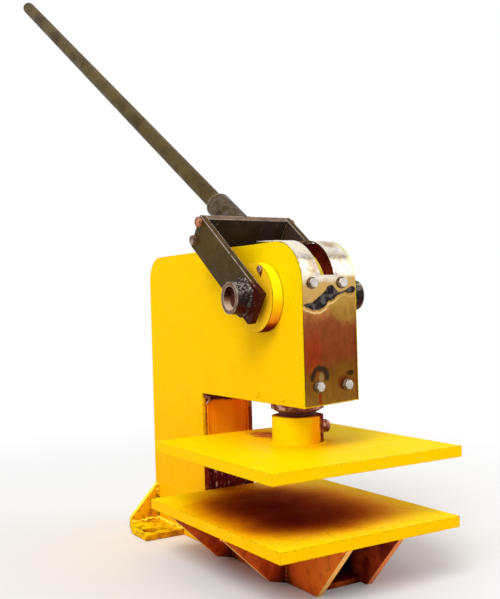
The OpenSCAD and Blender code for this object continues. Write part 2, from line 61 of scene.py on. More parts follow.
MM = 0.001
LEVER_TILT = math.radians(36.5)  # the arms' angle above level at rest
HANDLE_RISE = 8.5 * MM  # the handle's foot stands this far above the arms' line through the shaft
REAR_CORNER = 45 * MM  # radius of the frame's upper rear corner
PLUG_HEIGHT = 277 * MM  # plug welds that hold the guide block in the head
PLUG_STEP = 37 * MM  # how far they lie before and behind the ram's axis
CORNER_STEPS = 12  # steps of a seam round the upper rear corner
WELD_INSET = 4 * MM  # how far the jaw's welds stop short of an edge
RING_STEP = 0.35  # distance between a bead's rings, in units of its size
BEAD_END = 0.35  # size of an open bead's ends, as a share of its full size
HEAD_POINTS = 60  # points round a hexagon head
CHAMFER = 0.55  # how far a head's chamfer falls for each unit outwards
PLUG_POINTS = 28  # points round a plug weld
SKY_DIM = 0.62  # strength of the white surroundings for diffuse light
FLOOR_RADIUS = 12.0
FLOOR_DROP = 0.5 * MM  # keeps the floor clear of the undersides that stand on it
FADE_START, FADE_END = 0.5, 1.3  # distances over which the floor fades into white, in metres

# Camera, from the row's origin
CAMERA_PLACE = (-0.7553, -1.4467, 0.4189)
CAMERA_AZIMUTH, CAMERA_ELEVATION, CAMERA_ROLL = -31.389, 0.375, -1.644
LENS, SENSOR = 51.963, 36.0
SHIFT = (-0.00322, 0.01545)


def middle(box):
    """Centre of a box that is given by its lowest and highest corner."""
    return (box[0] + box[1]) / 2


hub_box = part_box("left_hub")
hub_radius = (hub_box[1].z - hub_box[0].z) / 2
shaft_axis = middle(hub_box)
shaft_axis.x = 0
from_lever = Matrix.Translation(shaft_axis) @ Matrix.Rotation(LEVER_TILT, 4, "X")
frame_left, web_left = (corner.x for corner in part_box("left_side_plate"))
web_right, frame_right = (corner.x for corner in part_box("right_side_plate"))

# Places that the finishes use, in millimetres
SIDE_INNER, SIDE_OUTER = web_right / MM, frame_right / MM
THROAT_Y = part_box("throat_plate")[0].y / MM
JAW_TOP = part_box("bed_plate")[0].z / MM
PLATE_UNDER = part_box("upper_plate")[0].z / MM
HEAD_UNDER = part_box("head_floor_plate")[0].z / MM
HOUSING_LOW, HOUSING_HIGH = (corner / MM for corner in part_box("right_bearing_housing"))
ARM_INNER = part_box("right_arm")[0].x / MM
BORE_RADIUS = (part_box("shaft")[1].z - shaft_axis.z) / MM
ALONG_ARMS = Vector((0, math.cos(LEVER_TILT), math.sin(LEVER_TILT)))
SQUARE_TO_ARMS = Vector((0, -math.sin(LEVER_TILT), math.cos(LEVER_TILT)))


# ---- building materials -------------------------------------------------------------


def screen(red, green, blue):
    """Screen values 0-255 as the linear colour that nodes take."""

    def linear(value):
        value /= 255
        return value / 12.92 if value <= 0.04045 else ((value + 0.055) / 1.055) ** 2.4

    return (linear(red), linear(green), linear(blue), 1.0)


class Nodes:
    """Adds shader nodes to a tree."""

    def __init__(self, tree):
        self.tree = tree

    def node(self, kind, inputs=None, **settings):
        made = self.tree.nodes.new("ShaderNode" + kind)
        for key, value in settings.items():
            setattr(made, key, value)
        for key, value in (inputs or {}).items():
            self.put(made.inputs[key], value)
        return made

    def put(self, socket, value):
        """Links a socket to another one, or sets it to a plain value."""
        if isinstance(value, bpy.types.NodeSocket):
            self.tree.links.new(value, socket)
        else:
            socket.default_value = value

    def calc(self, operation, first, second=0.0, clamp=False):
        made = self.node("Math", {0: first, 1: second}, operation=operation, use_clamp=clamp)
        return made.outputs[0]

    def seen_directly(self):
        """1 for camera, glossy and transmission rays, 0 for the rays that carry diffuse light."""
        path = self.node("LightPath").outputs
        total = path["Is Camera Ray"]
        for name in ("Is Glossy Ray", "Is Transmission Ray"):
            total = self.calc("ADD", total, path[name], clamp=True)
        return total


class Finish(Nodes):
    """Builds one procedural material. Its patterns lie in the row frame, in metres."""

    def __init__(self, name, **sockets):
        self.material = bpy.data.materials.new(name)
        self.material.use_nodes = True
        super().__init__(self.material.node_tree)
        self.shader = self.tree.nodes["Principled BSDF"]
        for socket, value in sockets.items():
            title = socket.replace("_", " ").title().replace("Ior", "IOR")
            self.shader.inputs[title].default_value = value
        self.place = self.node("TexCoord").outputs["Object"]

    def mix(self, share, first, second, blend="MIX"):
        made = self.node("Mix", {0: share, 6: first, 7: second}, data_type="RGBA", blend_type=blend)
        return made.outputs[2]

    def span(self, value, low, high, at_low=0.0, at_high=1.0):
        """Eases from at_low to at_high as value goes from low to high."""
        inputs = {"Value": value, "From Min": low, "From Max": high, "To Min": at_low, "To Max": at_high}
        return self.node("MapRange", inputs, interpolation_type="SMOOTHSTEP").outputs[0]

    def ramp(self, value, stops):
        """Colour of value between (position, colour) stops."""
        made = self.node("ValToRGB", {0: value})
        elements = made.color_ramp.elements
        while len(elements) < len(stops):
            elements.new(1.0)
        for element, (position, colour) in zip(elements, stops):
            element.position = position
            element.color = colour
        return made.outputs[0]

    def noise(self, scale, detail=3.0, stretch=(1, 1, 1), shift=0.0):
        mapping = {"Vector": self.place, "Location": (shift,) * 3, "Scale": stretch}
        place = self.node("Mapping", mapping).outputs[0]
        inputs = {"Vector": place, "Scale": scale, "Detail": detail, "Roughness": 0.6}
        return self.node("TexNoise", inputs).outputs[0]

    def wander(self, width, scale, detail=3.0, shift=0.0):
        """Noise round 0, in a band of this width."""
        level = self.calc("SUBTRACT", self.noise(scale, detail, shift=shift), 0.5)
        return self.calc("MULTIPLY", level, width)

    def axis(self, name):
        """The X, Y or Z coordinate in millimetres."""
        return self.calc("MULTIPLY", self.node("SeparateXYZ", {0: self.place}).outputs[name], 1000.0)

    def aside(self):
        """Distance from the middle plane, in millimetres."""
        return self.calc("ABSOLUTE", self.axis("X"))

    def from_shaft(self, way):
        """Distance from the shaft's axis along a way, in millimetres."""
        level = self.node("VectorMath", {0: self.place, 1: way}, operation="DOT_PRODUCT").outputs["Value"]
        return self.calc("MULTIPLY", self.calc("SUBTRACT", level, shaft_axis.dot(way)), 1000.0)

    def curve(self, value, points):
        """value through a smooth curve of (from, to) points."""
        (x0, x1), (y0, y1) = ((min(ends), max(ends)) for ends in zip(*points))
        share = self.node("MapRange", {"Value": value, "From Min": x0, "From Max": x1}).outputs[0]
        made = self.node("FloatCurve", {1: share})
        line = made.mapping.curves[0]
        while len(line.points) < len(points):
            line.points.new(0.5, 0.5)
        for point, (x, y) in zip(line.points, points):
            point.location = ((x - x0) / (x1 - x0), (y - y0) / (y1 - y0))
        made.mapping.update()
        return self.node("MapRange", {"Value": made.outputs[0], "To Min": y0, "To Max": y1}).outputs[0]

    def facing(self, axis):
        """How far the surface faces along an axis of its own, from -1 to 1."""
        own = self.node("TexCoord").outputs["Normal"]
        return self.node("SeparateXYZ", {0: own}).outputs[axis]

    def sideways(self):
        """How far the surface faces to either side, from 0 to 1."""
        return self.calc("ABSOLUTE", self.facing("X"))

    def both(self, *shares):
        """Product of several shares."""
        total = shares[0]
        for share in shares[1:]:
            total = self.calc("MULTIPLY", total, share)
        return total

    def away(self, axes, centre, reach=(1.0, 1.0)):
        """Distance from centre in the plane of two axes, such as "XZ", in units of reach along each."""
        squares = []
        for name, start, unit in zip(axes, centre, reach):
            steps = self.calc("DIVIDE", self.calc("SUBTRACT", self.axis(name), start), unit)
            squares.append(self.calc("MULTIPLY", steps, steps))
        return self.calc("SQRT", self.calc("ADD", *squares))

    def edges(self, radius):
        """1 on sharp edges, falling to 0 at radius from them."""
        rounded = self.node("Bevel", {"Radius": radius}, samples=6).outputs[0]
        flat = self.node("NewGeometry").outputs["Normal"]
        level = self.node("VectorMath", {0: rounded, 1: flat}, operation="DOT_PRODUCT").outputs["Value"]
        return self.span(level, 0.78, 0.99, 1.0, 0.0)

    def openness(self, reach):
        """1 where nothing stands within reach, 0 where the surface is shut in."""
        return self.node("AmbientOcclusion", {"Distance": reach}, samples=16).outputs["AO"]

    def lines(self, scale, width, shift):
        """Thin wandering lines, 1 on the line."""
        level = self.noise(scale, 1.5, shift=shift)
        return self.span(self.calc("ABSOLUTE", self.calc("SUBTRACT", level, 0.5)), 0.0, width, 1.0, 0.0)

    def done(self, colour, roughness, height, lift, metallic=0.0):
        """Links up the shader. lift is the relief of height from 0 to 1, in metres."""
        rounded = self.node("Bevel", {"Radius": 1.2 * MM}, samples=4).outputs[0]
        bump = self.node("Bump", {"Height": height, "Distance": lift, "Normal": rounded})
        self.put(self.shader.inputs["Base Color"], colour)
        self.put(self.shader.inputs["Roughness"], roughness)
        self.put(self.shader.inputs["Metallic"], metallic)
        self.put(self.shader.inputs["Normal"], bump.outputs[0])
        return self.material


# ---- yellow enamel ------------------------------------------------------------------

# Painted shade: these tables colour the enamel by how shut in a surface is, so corners, creases and
# undersides turn darker and redder
YELLOW_SHADES = [
    (0.05, screen(110, 34, 4)),
    (0.13, screen(214, 100, 0)),
    (0.23, screen(250, 172, 0)),
    (0.38, screen(252, 199, 0)),
]
JAW_SHADES = [
    (0.05, screen(36, 7, 6)),
    (0.11, screen(176, 48, 20)),
    (0.20, screen(252, 96, 34)),
    (0.50, screen(255, 134, 44)),
]
# the bed's dark red middle is painted shadow of the upper plate
BED_SHADES = [
    (0.30, screen(66, 0, 0)),
    (0.42, screen(128, 38, 0)),
    (0.51, screen(214, 116, 0)),
    (0.60, screen(252, 192, 0)),
]
THROAT_SHADES = [
    (0.06, screen(170, 56, 10)),
    (0.20, screen(244, 116, 6)),
    (0.60, screen(252, 146, 6)),
    (0.85, screen(250, 165, 6)),
]
LUG_SHADES = [
    (0.10, screen(110, 44, 4)),
    (0.25, screen(206, 124, 6)),
    (0.45, screen(246, 186, 8)),
    (0.70, screen(252, 204, 8)),
]
# Painted light: a pale bright yellow, so that the crosshead's crown looks lit inside the slot
CROWN_SHADES = [
    (0.0, screen(250, 214, 60)),
    (0.5, screen(255, 226, 90)),
]


def enamel(name, shades, wear, lumps=0.15, grime=0.1, cuts=0.0, coarse=1.0, lean=None, local=None):
    """Brushed enamel with painted shade, darker and redder where the surface is shut in, and painted
    light that turns open upward faces lemon. coarse is how much rougher it is below the bed, lean shifts
    the painted shade, and local recolours parts of the piece."""
    f = Finish(name, specular_ior_level=0.012)
    # painted shade: the colour follows how shut in the surface is
    level = f.calc("ADD", f.openness(0.15), f.wander(0.16, 9))
    if lean:
        level = f.calc("ADD", level, lean(f))
    colour = f.ramp(level, shades)
    # painted light: open faces that look up turn lemon
    facing_up = f.span(f.facing("Z"), 0.5, 0.9)
    colour = f.mix(f.both(facing_up, f.span(level, 0.5, 0.8)), colour, screen(252, 220, 0))
    if local:
        colour = local(f, colour, level)
    blotch = f.span(f.noise(26, 5, shift=3.0), 0.5, 0.72, 0.0, 0.35)
    colour = f.mix(f.both(blotch, grime * 2), colour, wear)
    specks = f.both(f.span(f.noise(330, 2), 0.66, 0.72), f.span(f.noise(18, 3, shift=7.0), 0.45, 0.65))
    colour = f.mix(f.both(specks, min(1.0, grime * 5)), colour, wear)
    chips = f.both(f.edges(0.0022), f.span(f.noise(120, 4, shift=5.0), 0.47, 0.6))
    colour = f.mix(f.both(chips, 0.8), colour, wear)
    if cuts:
        marks = f.calc("MAXIMUM", f.lines(5, 0.0025, 1.0), f.lines(8, 0.0025, 9.0))
        marks = f.both(marks, f.span(f.noise(30, 3, shift=11.0), 0.42, 0.6, 0.0, cuts))
        colour = f.mix(f.both(marks, facing_up), colour, wear)
    relief = f.calc("ADD", f.calc("MULTIPLY", f.noise(420, 2), 0.2), f.noise(60, 4, shift=2.0))
    relief = f.both(relief, f.span(f.axis("Z"), JAW_TOP - 3, JAW_TOP, coarse, 1.0))
    gloss = f.span(f.noise(45, 4, shift=4.0), 0.3, 0.7, 0.4, 0.6)
    roughness = f.calc("MAXIMUM", gloss, f.span(level, 0.3, 0.7, 0.95, 0.4))
    return f.done(colour, roughness, relief, lumps * MM)


def bed_shade_shift(f):
    """Less painted shade towards the bed's right and front edges, where more light reaches it."""
    right = f.span(f.axis("X"), -30.0, 150.0, 0.0, 0.14)
    return f.calc("ADD", right, f.span(f.axis("Y"), -520.0, -400.0, 0.12, 0.0))


def below_bed(f):
    """1 below the bed plate, 0 from its underside up."""
    return f.span(f.axis("Z"), JAW_TOP - 3, JAW_TOP, 1.0, 0.0)


def jaw_tints(f, colour, level):
    """Side plates below the bed: mottled orange-red with painted shade, maroon painted shade in corners,
    and painted highlights on the pale slanted front edges.
    """
    patchy = f.span(f.noise(34, 5, shift=13.0), 0.35, 0.7, 0.9, 1.0)
    jaw = f.both(below_bed(f), f.span(f.axis("Y"), THROAT_Y - 12, THROAT_Y, 1.0, 0.0))
    # painted shade: below the bed the colour follows the jaw's shade table
    colour = f.mix(f.both(jaw, patchy), colour, f.ramp(level, JAW_SHADES))
    scorched = f.span(f.noise(60, 5, shift=4.0), 0.50, 0.66, 0.0, 0.35)
    colour = f.mix(f.both(jaw, scorched), colour, screen(150, 36, 18))
    # painted shade: maroon in the corners
    corners = f.span(f.openness(0.045), 0.3, 0.62, 0.9, 0.0)
    colour = f.mix(f.both(jaw, corners), colour, screen(44, 6, 8))
    # painted highlight: the slanted front edges turn pale, more so on the left
    slanted = f.both(
        jaw, f.span(f.facing("Y"), -0.5, -0.3, 1.0, 0.0), f.span(f.noise(110, 4), 0.3, 0.5, 0.5, 0.95)
    )
    pale = f.mix(f.span(f.axis("X"), 0.0, 1.0), screen(255, 196, 110), screen(232, 132, 80))
    return f.mix(slanted, colour, pale)


def inner_side_shade(f, colour):
    """Painted shade on the inner faces of the side plates: brown, and almost black deep in the jaw's mouth.
    """
    inner = f.mix(f.span(f.noise(40, 4, shift=2.0), 0.35, 0.65), screen(190, 70, 30), screen(130, 36, 18))
    deep = f.both(below_bed(f), f.span(f.axis("Y"), -430, -400))
    inner = f.mix(deep, inner, screen(12, 3, 3))
    return f.mix(f.span(f.aside(), SIDE_INNER, SIDE_INNER + 0.3, 1.0, 0.0), colour, inner)


def side_tints(f, colour, level):
    """Side plates: orange towards the foot, lemon at the head, painted shade inside and below the bed, a
    painted highlight on the head's front edges, and edges of their own round the throat.
    """
    up, depth = f.axis("Z"), f.axis("Y")
    colour = f.mix(f.span(up, 130, 320, 0.55, 0.0), colour, screen(250, 172, 0))
    lemon = f.both(f.span(up, 370, 470, 0.0, 0.6), f.span(depth, -330, -200, 1.0, 0.2))
    colour = f.mix(lemon, colour, screen(253, 222, 4))
    colour = inner_side_shade(f, jaw_tints(f, colour, level))
    # painted highlight: the head's front edges turn lemon
    brow = f.both(f.span(f.facing("Y"), -0.4, -0.1, 1.0, 0.0), f.span(up, HEAD_UNDER - 8, HEAD_UNDER))
    colour = f.mix(brow, colour, screen(255, 226, 0))
    # the throat's front edges are dark red, but the left one's outer part is yellow above the upper plate
    mouth = f.both(
        f.span(f.facing("Y"), -0.9, -0.7, 1.0, 0.0), f.span(depth, THROAT_Y - 8, THROAT_Y - 6),
        f.span(f.noise(80, 4, shift=9.0), 0.3, 0.5, 0.6, 1.0),
    )
    kept = f.both(
        f.span(up, PLATE_UNDER, PLATE_UNDER + 4), f.span(f.axis("X"), -SIDE_OUTER, -SIDE_INNER, 1.0, 0.0),
        f.span(f.aside(), SIDE_INNER + 3.0, SIDE_INNER + 4.5),
    )
    return f.mix(f.both(mouth, f.calc("SUBTRACT", 1.0, kept)), colour, screen(130, 40, 20))


def rib_tints(f, colour, level):
    """Mottled paint, maroon painted shade in the corners, and painted highlights on the pale slanted edges.
    """
    colour = f.mix(f.span(f.noise(55, 5, shift=4.0), 0.42, 0.62, 0.0, 0.6), colour, screen(150, 40, 20))
    # painted shade: maroon in the corners
    colour = f.mix(f.span(f.openness(0.045), 0.35, 0.7, 0.9, 0.0), colour, screen(44, 6, 8))
    # painted highlight: pale slanted edges that face down
    slanted = f.both(
        f.span(f.facing("Z"), -0.5, -0.3, 1.0, 0.0), f.span(f.noise(110, 4), 0.3, 0.5, 0.4, 0.95)
    )
    return f.mix(slanted, colour, screen(255, 190, 100))


def lug_tints(f, colour, level):
    """Brown mottling, and a pale lemon painted highlight on the gusset's sloping faces."""
    colour = f.mix(f.span(f.noise(75, 5, shift=8.0), 0.46, 0.62, 0.0, 0.7), colour, screen(150, 92, 14))
    # painted highlight on the sloping faces
    sloping = f.both(f.span(f.facing("Z"), 0.2, 0.4), f.span(f.facing("Z"), 0.85, 0.95, 1.0, 0.0))
    patchy = f.span(f.noise(70, 4), 0.3, 0.5, 0.5, 1.0)
    return f.mix(f.both(sloping, patchy), colour, screen(250, 236, 60))


def housing_tints(f, colour, level):
    """Bearing housings: a rim with painted light and shade, lemon on top, orange lower down and maroon
    underneath, with dark joints on both sides, and a streak of rust below the screw."""
    height = f.node("MapRange", {
        "Value": f.calc("ADD", f.axis("Z"), f.wander(14.0, 40)),
        "From Min": HOUSING_LOW.z, "From Max": HOUSING_HIGH.z,
    }).outputs[0]
    # painted light and shade: the rim runs from lemon on top to maroon underneath
    rim = f.ramp(height, [
        (0.05, screen(84, 16, 6)),
        (0.10, screen(150, 56, 10)),
        (0.17, screen(240, 150, 34)),
        (0.36, screen(252, 204, 4)),
        (0.54, screen(252, 238, 16)),
    ])
    on_rim = f.span(f.sideways(), 0.3, 0.6, 1.0, 0.0)
    colour = f.mix(on_rim, f.mix(0.85, colour, screen(255, 198, 30)), rim)
    joint = f.calc(
        "MAXIMUM", f.span(f.aside(), SIDE_OUTER + 0.6, SIDE_OUTER + 1.6, 1.0, 0.0),
        f.span(f.aside(), HOUSING_HIGH.x - 1.2, HOUSING_HIGH.x - 0.5),
    )
    joint = f.both(joint, on_rim, f.span(f.noise(90, 3, shift=5.0), 0.3, 0.55, 0.45, 1.0))
    colour = f.mix(joint, colour, screen(96, 56, 0))
    screw_low, screw_high = (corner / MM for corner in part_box("housing_screws"))
    beside = f.calc("ABSOLUTE", f.calc("SUBTRACT", f.axis("Y"), (screw_low.y + screw_high.y) / 2))
    down = f.calc("SUBTRACT", screw_low.z + 1.0, f.axis("Z"))
    rust = f.both(
        f.span(f.calc("ADD", beside, f.calc("MULTIPLY", down, 0.5)), 3.6, 5.0, 1.0, 0.0),
        f.span(down, -4.0, -2.0), f.calc("SUBTRACT", 1.0, on_rim),
    )
    return f.mix(rust, colour, screen(112, 44, 12))


def collar_tints(f, colour, level):
    """Painted light and shade, lemon on the open left side and orange on the right, with a dark red-brown
    streak on the right by the set bolt.
    """
    # painted light: lemon where the collar is open
    colour = f.mix(f.both(f.span(level, 0.1, 0.3), 0.8), colour, screen(253, 216, 0))
    across = f.calc("ADD", f.axis("X"), f.wander(12.0, 60, 4))
    # painted shade: orange on the right
    colour = f.mix(f.span(across, -10.0, 4.0, 0.0, 0.75), colour, screen(255, 160, 6))
    behind = f.calc("SUBTRACT", f.axis("Y"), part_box("set_bolt")[1].y / MM)
    # a dark red-brown streak on the right by the set bolt
    run = f.both(
        f.span(across, 13.0, 19.0), f.span(behind, -2.0, 8.0, 1.0, 0.0),
        f.span(f.noise(90, 4, shift=6.0), 0.3, 0.5, 0.5, 1.0),
    )
    return f.mix(run, colour, screen(110, 30, 12))


def plate_tints(f, colour, level):
    """A brown smear on the upper plate behind the collar."""
    ram = middle(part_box("ram")) / MM
    away = f.calc("ADD", f.away("XY", (ram.x + 8, ram.y + 100), (34, 56)), f.noise(60, 4, shift=6.0))
    smear = f.mix(f.span(f.noise(90, 4, shift=2.0), 0.4, 0.6), screen(224, 120, 50), screen(130, 44, 16))
    return f.mix(f.span(away, 0.9, 1.5, 0.9, 0.0), colour, smear)


def throat_tints(f, colour, level):
    """Painted shade: dark brown under the head, redder to the right, and maroon below the upper plate, with
    pale flecks.
    """
    up = f.calc("ADD", f.axis("Z"), f.wander(8.0, 40, 4, 1.0))
    # painted shadow under the head's floor plate
    colour = f.mix(f.span(up, HEAD_UNDER - 22, HEAD_UNDER - 17, 0.0, 0.95), colour, screen(36, 10, 4))
    # painted shade, redder to the right
    colour = f.mix(f.span(f.axis("X"), 0.0, 24.0, 0.0, 0.5), colour, screen(226, 84, 10))
    # painted shade: maroon below the upper plate, with pale flecks
    below = f.span(f.axis("Z"), PLATE_UNDER - 4, PLATE_UNDER + 4, 1.0, 0.0)
    dark = f.mix(f.span(f.noise(50, 4, shift=3.0), 0.35, 0.65), screen(112, 30, 22), screen(70, 12, 12))
    flecks = f.span(f.noise(120, 3, (2.0, 2.0, 0.5), shift=5.0), 0.57, 0.66, 0.0, 0.9)
    return f.mix(below, colour, f.mix(flecks, dark, screen(220, 170, 160)))


BROWN_WEAR = screen(120, 60, 5)
yellow = enamel("yellow_enamel", YELLOW_SHADES, BROWN_WEAR)
housing_yellow = enamel("housing_enamel", YELLOW_SHADES, BROWN_WEAR, local=housing_tints)
collar_yellow = enamel("collar_enamel", YELLOW_SHADES, BROWN_WEAR, local=collar_tints)
plate_yellow = enamel("plate_enamel", YELLOW_SHADES, BROWN_WEAR, local=plate_tints)
side_yellow = enamel("side_enamel", YELLOW_SHADES, BROWN_WEAR, coarse=6.0, local=side_tints)
rib_yellow = enamel("rib_enamel", JAW_SHADES, screen(80, 24, 10), lumps=0.8, grime=0.3, local=rib_tints)
throat_yellow = enamel(
    "throat_enamel", THROAT_SHADES, screen(110, 30, 8), lumps=0.6, grime=0.2, local=throat_tints
)
rough_yellow = enamel(
    "rough_yellow_enamel", LUG_SHADES, screen(120, 66, 12), lumps=2.2, grime=0.6, local=lug_tints
)
bed_yellow = enamel("bed_enamel", BED_SHADES, screen(75, 35, 5), cuts=0.45, lean=bed_shade_shift)
crown_yellow = enamel("crown_enamel", CROWN_SHADES, BROWN_WEAR)


# ---- dark paint ---------------------------------------------------------------------


def dark_enamel(
    name, body, shade, lumps=0.25, scuffed=0.15, shut_in=screen(44, 8, 5), rubbed=None, local=None
):
    """Thin dark paint over steel, with painted shade in the colour shut_in where it is shut in, rubbed
    bright along the edges, or only where rubbed says.
    """
    f = Finish(name, specular_ior_level=0.06)
    colour = f.mix(f.span(f.noise(14, 4), 0.35, 0.65), body, shade)
    # painted shade: shut-in places take the colour shut_in
    shut = f.span(f.openness(0.05), 0.2, 0.75, 1.0, 0.0)
    colour = f.mix(f.both(shut, 0.8), colour, shut_in)
    if local:
        colour = local(f, colour)
    rub = f.both(f.edges(0.0036), f.span(f.noise(70, 4, shift=5.0), 0.3, 0.5))
    if rubbed:
        rub = f.both(rub, rubbed(f))
    colour = f.mix(rub, colour, screen(196, 178, 170))
    scuffs = f.span(f.noise(210, 3, shift=8.0), 0.6, 0.7, 0.0, scuffed)
    colour = f.mix(scuffs, colour, screen(150, 135, 120))
    relief = f.calc("ADD", f.calc("MULTIPLY", f.noise(380, 3), 0.4), f.noise(90, 4, shift=2.0))
    roughness = f.span(f.noise(40, 4, shift=4.0), 0.3, 0.7, 0.34, 0.55)
    return f.done(colour, roughness, relief, lumps * MM)


def arms_upper_half(f):
    """1 on the half of each arm above its centre line, ending a little past the shaft."""
    upper = f.span(f.from_shaft(SQUARE_TO_ARMS), 5.0, 15.0)
    return f.both(upper, f.span(f.from_shaft(ALONG_ARMS), -22.0, -14.0))


def plate_edge(f, colour):
    """Paint turns brown in patches on the cross plate's upward faces."""
    brown_top = f.both(f.span(f.facing("Z"), 0.6, 0.8), f.span(f.noise(80, 4, shift=2.0), 0.3, 0.6, 0.5, 1.0))
    return f.mix(brown_top, colour, screen(124, 100, 80))


def socket_tints(f, colour):
    """Olive and brown blotches on the rough socket."""
    blotches = f.ramp(f.noise(75, 4, shift=7.0), [
        (0.36, screen(34, 26, 17)),
        (0.48, screen(80, 66, 34)),
        (0.58, screen(90, 76, 70)),
        (0.68, screen(120, 104, 96)),
    ])
    return f.mix(0.75, colour, blotches)


def arm_tints(f, colour):
    """The arms are grey-brown inside and dark maroon past the shaft, with a few pale specks of spatter."""
    inside = f.span(f.aside(), ARM_INNER + 0.1, ARM_INNER + 0.4, 1.0, 0.0)
    colour = f.mix(inside, colour, screen(62, 48, 44))
    along = f.calc("ADD", f.from_shaft(ALONG_ARMS), f.wander(16.0, 70, 4, 3.0))
    specks = f.span(f.noise(200, 3, shift=6.0), 0.66, 0.72, 0.0, 0.5)
    maroon = f.mix(specks, screen(62, 5, 5), screen(150, 136, 128))
    return f.mix(f.span(along, -12.0, -2.0, 0.9, 0.0), colour, maroon)


def spatter_tints(f, colour):
    """Pale specks on the upward faces, dark red-brown on the downward faces."""
    top = f.both(f.span(f.facing("Z"), 0.0, 0.7), f.span(f.noise(260, 4, shift=3.0), 0.46, 0.58, 0.0, 0.85))
    colour = f.mix(top, colour, screen(176, 164, 156))
    return f.mix(f.span(f.facing("Z"), -0.7, -0.2, 0.85, 0.0), colour, screen(70, 8, 8))


def hub_tints(f, colour):
    """Spatter outside, a brown end ring, and a bore with painted shade above and painted light below."""
    colour = spatter_tints(f, colour)
    end = f.both(f.span(f.sideways(), 0.8, 0.95), f.span(f.noise(90, 3), 0.3, 0.6, 0.5, 0.9))
    colour = f.mix(end, colour, screen(124, 92, 66))
    # painted shade on the bore's upper wall and painted light on its lower wall
    wall = f.ramp(f.span(f.facing("Z"), -1.0, 1.0), [
        (0.30, screen(66, 14, 8)),
        (0.60, screen(150, 104, 76)),
        (0.90, screen(232, 202, 172)),
    ])
    away = f.away("YZ", (shaft_axis.y / MM, shaft_axis.z / MM))
    return f.mix(f.span(away, BORE_RADIUS + 0.4, BORE_RADIUS + 1.0, 0.9, 0.0), colour, wall)


arm_paint = dark_enamel(
    "arm_paint", screen(76, 56, 14), screen(60, 44, 12), rubbed=arms_upper_half, local=arm_tints
)
black_paint = dark_enamel(
    "black_paint", screen(58, 50, 52), screen(38, 33, 36), shut_in=screen(34, 28, 30), local=plate_edge
)
hub_paint = dark_enamel(
    "hub_paint", screen(44, 34, 28), screen(16, 12, 12), lumps=0.6, scuffed=0.6, local=hub_tints
)
weld_paint = dark_enamel(
    "weld_paint", screen(70, 60, 54), screen(24, 18, 16), lumps=0.6, scuffed=0.8, local=spatter_tints
)
socket_paint = dark_enamel(
    "socket_paint", screen(92, 76, 64), screen(64, 50, 40), lumps=0.5, local=socket_tints
)
handle_paint = dark_enamel("handle_paint", screen(88, 72, 34), screen(58, 46, 22))


# ---- bare metal ---------------------------------------------------------------------


def bare_metal(name, bright, dull, rust, share, roughness=0.35, lumps=0.1, lean=None):
    """Bare metal with rust over a share of it. lean adds rust in places."""
    f = Finish(name)
    colour = f.mix(f.span(f.noise(60, 4), 0.35, 0.65), bright, dull)
    level = f.noise(85, 5, shift=6.0)
    if lean:
        level = f.calc("ADD", level, lean(f))
    rusting = f.span(level, 0.72 - 0.5 * share, 0.86 - 0.5 * share)
    shut = f.span(f.openness(0.03), 0.3, 0.8, 1.0, 0.0)
    rusting = f.calc("MAXIMUM", rusting, f.calc("MULTIPLY", shut, min(1.0, 0.35 + share)))
    rust_tone = f.mix(f.span(f.noise(160, 3, shift=1.0), 0.35, 0.7), rust, screen(70, 28, 14))
    colour = f.mix(rusting, colour, rust_tone)
    relief = f.calc("ADD", f.calc("MULTIPLY", f.noise(500, 3), 0.4), f.both(rusting, f.noise(220, 4)))
    gloss = f.span(rusting, 0.0, 1.0, roughness, 0.8)
    metallic = f.span(rusting, 0.0, 1.0, 1.0, 0.15)
    return f.done(colour, gloss, relief, lumps * MM, metallic)


def upper_bolts(f):
    """The yoke's upper bolts are the rusty ones."""
    level = middle(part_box("yoke_bolts")).z / MM
    return f.span(f.axis("Z"), level - 2.0, level + 2.0, -0.15, 0.25)


plated = bare_metal("plated_steel", screen(214, 208, 200), screen(150, 142, 134), screen(130, 70, 36), 0.2)
washer_steel = bare_metal(
    "washer_steel", screen(150, 128, 100), screen(104, 78, 50), screen(90, 46, 20), 0.4
)
machined = bare_metal("machined_steel", screen(150, 146, 142), screen(92, 86, 82), screen(110, 60, 36), 0.3)
rusted = bare_metal(
    "rusted_steel", screen(190, 140, 110), screen(130, 80, 60), screen(170, 92, 54), 0.6, 0.45, 0.3
)
rusty_bolt = bare_metal("rusty_bolt", screen(200, 188, 176), screen(150, 130, 116), screen(150, 70, 40), 0.5)
yoke_steel = bare_metal(
    "yoke_steel", screen(190, 176, 164), screen(110, 84, 70), screen(206, 138, 100), 0.4, lean=upper_bolts
)
ram_steel = bare_metal("ram_steel", screen(120, 70, 58), screen(74, 26, 20), screen(90, 30, 20), 0.6, 0.4)
bush_rust = bare_metal(
    "bush_rust", screen(206, 160, 146), screen(130, 66, 50), screen(126, 56, 38), 0.6, 0.4, 0.5
)
bronze = bare_metal("bronze", screen(196, 148, 78), screen(150, 104, 50), screen(70, 44, 22), 0.25)


# ---- the stainless cover, with places in millimetres across and up ------------------

BAND_LOW, BAND_HIGH = 260.0, 520.0  # heights between which the bands of heat tint and painted reflection run


def heat_and_reflection_bands(f):
    """The sheet's colours from foot to top, heat tints with painted reflections among them, in wavering bands
    that rise a little to the right.
    """
    level = f.calc("ADD", f.axis("Z"), f.wander(30.0, 30, 4))
    level = f.calc("ADD", level, f.calc("MULTIPLY", f.axis("X"), -0.1))
    height = f.node("MapRange", {"Value": level, "From Min": BAND_LOW, "From Max": BAND_HIGH}).outputs[0]
    return f.ramp(height, [
        (0.00, screen(150, 104, 40)),
        (0.10, screen(138, 92, 28)),
        (0.22, screen(124, 80, 22)),
        (0.30, screen(138, 64, 32)),
        (0.50, screen(150, 76, 42)),
        (0.56, screen(186, 116, 60)),
        (0.60, screen(206, 160, 88)),
        (0.72, screen(206, 168, 100)),
        (0.76, screen(240, 230, 212)),
        (0.93, screen(240, 228, 206)),
        (1.00, screen(228, 208, 170)),
    ])


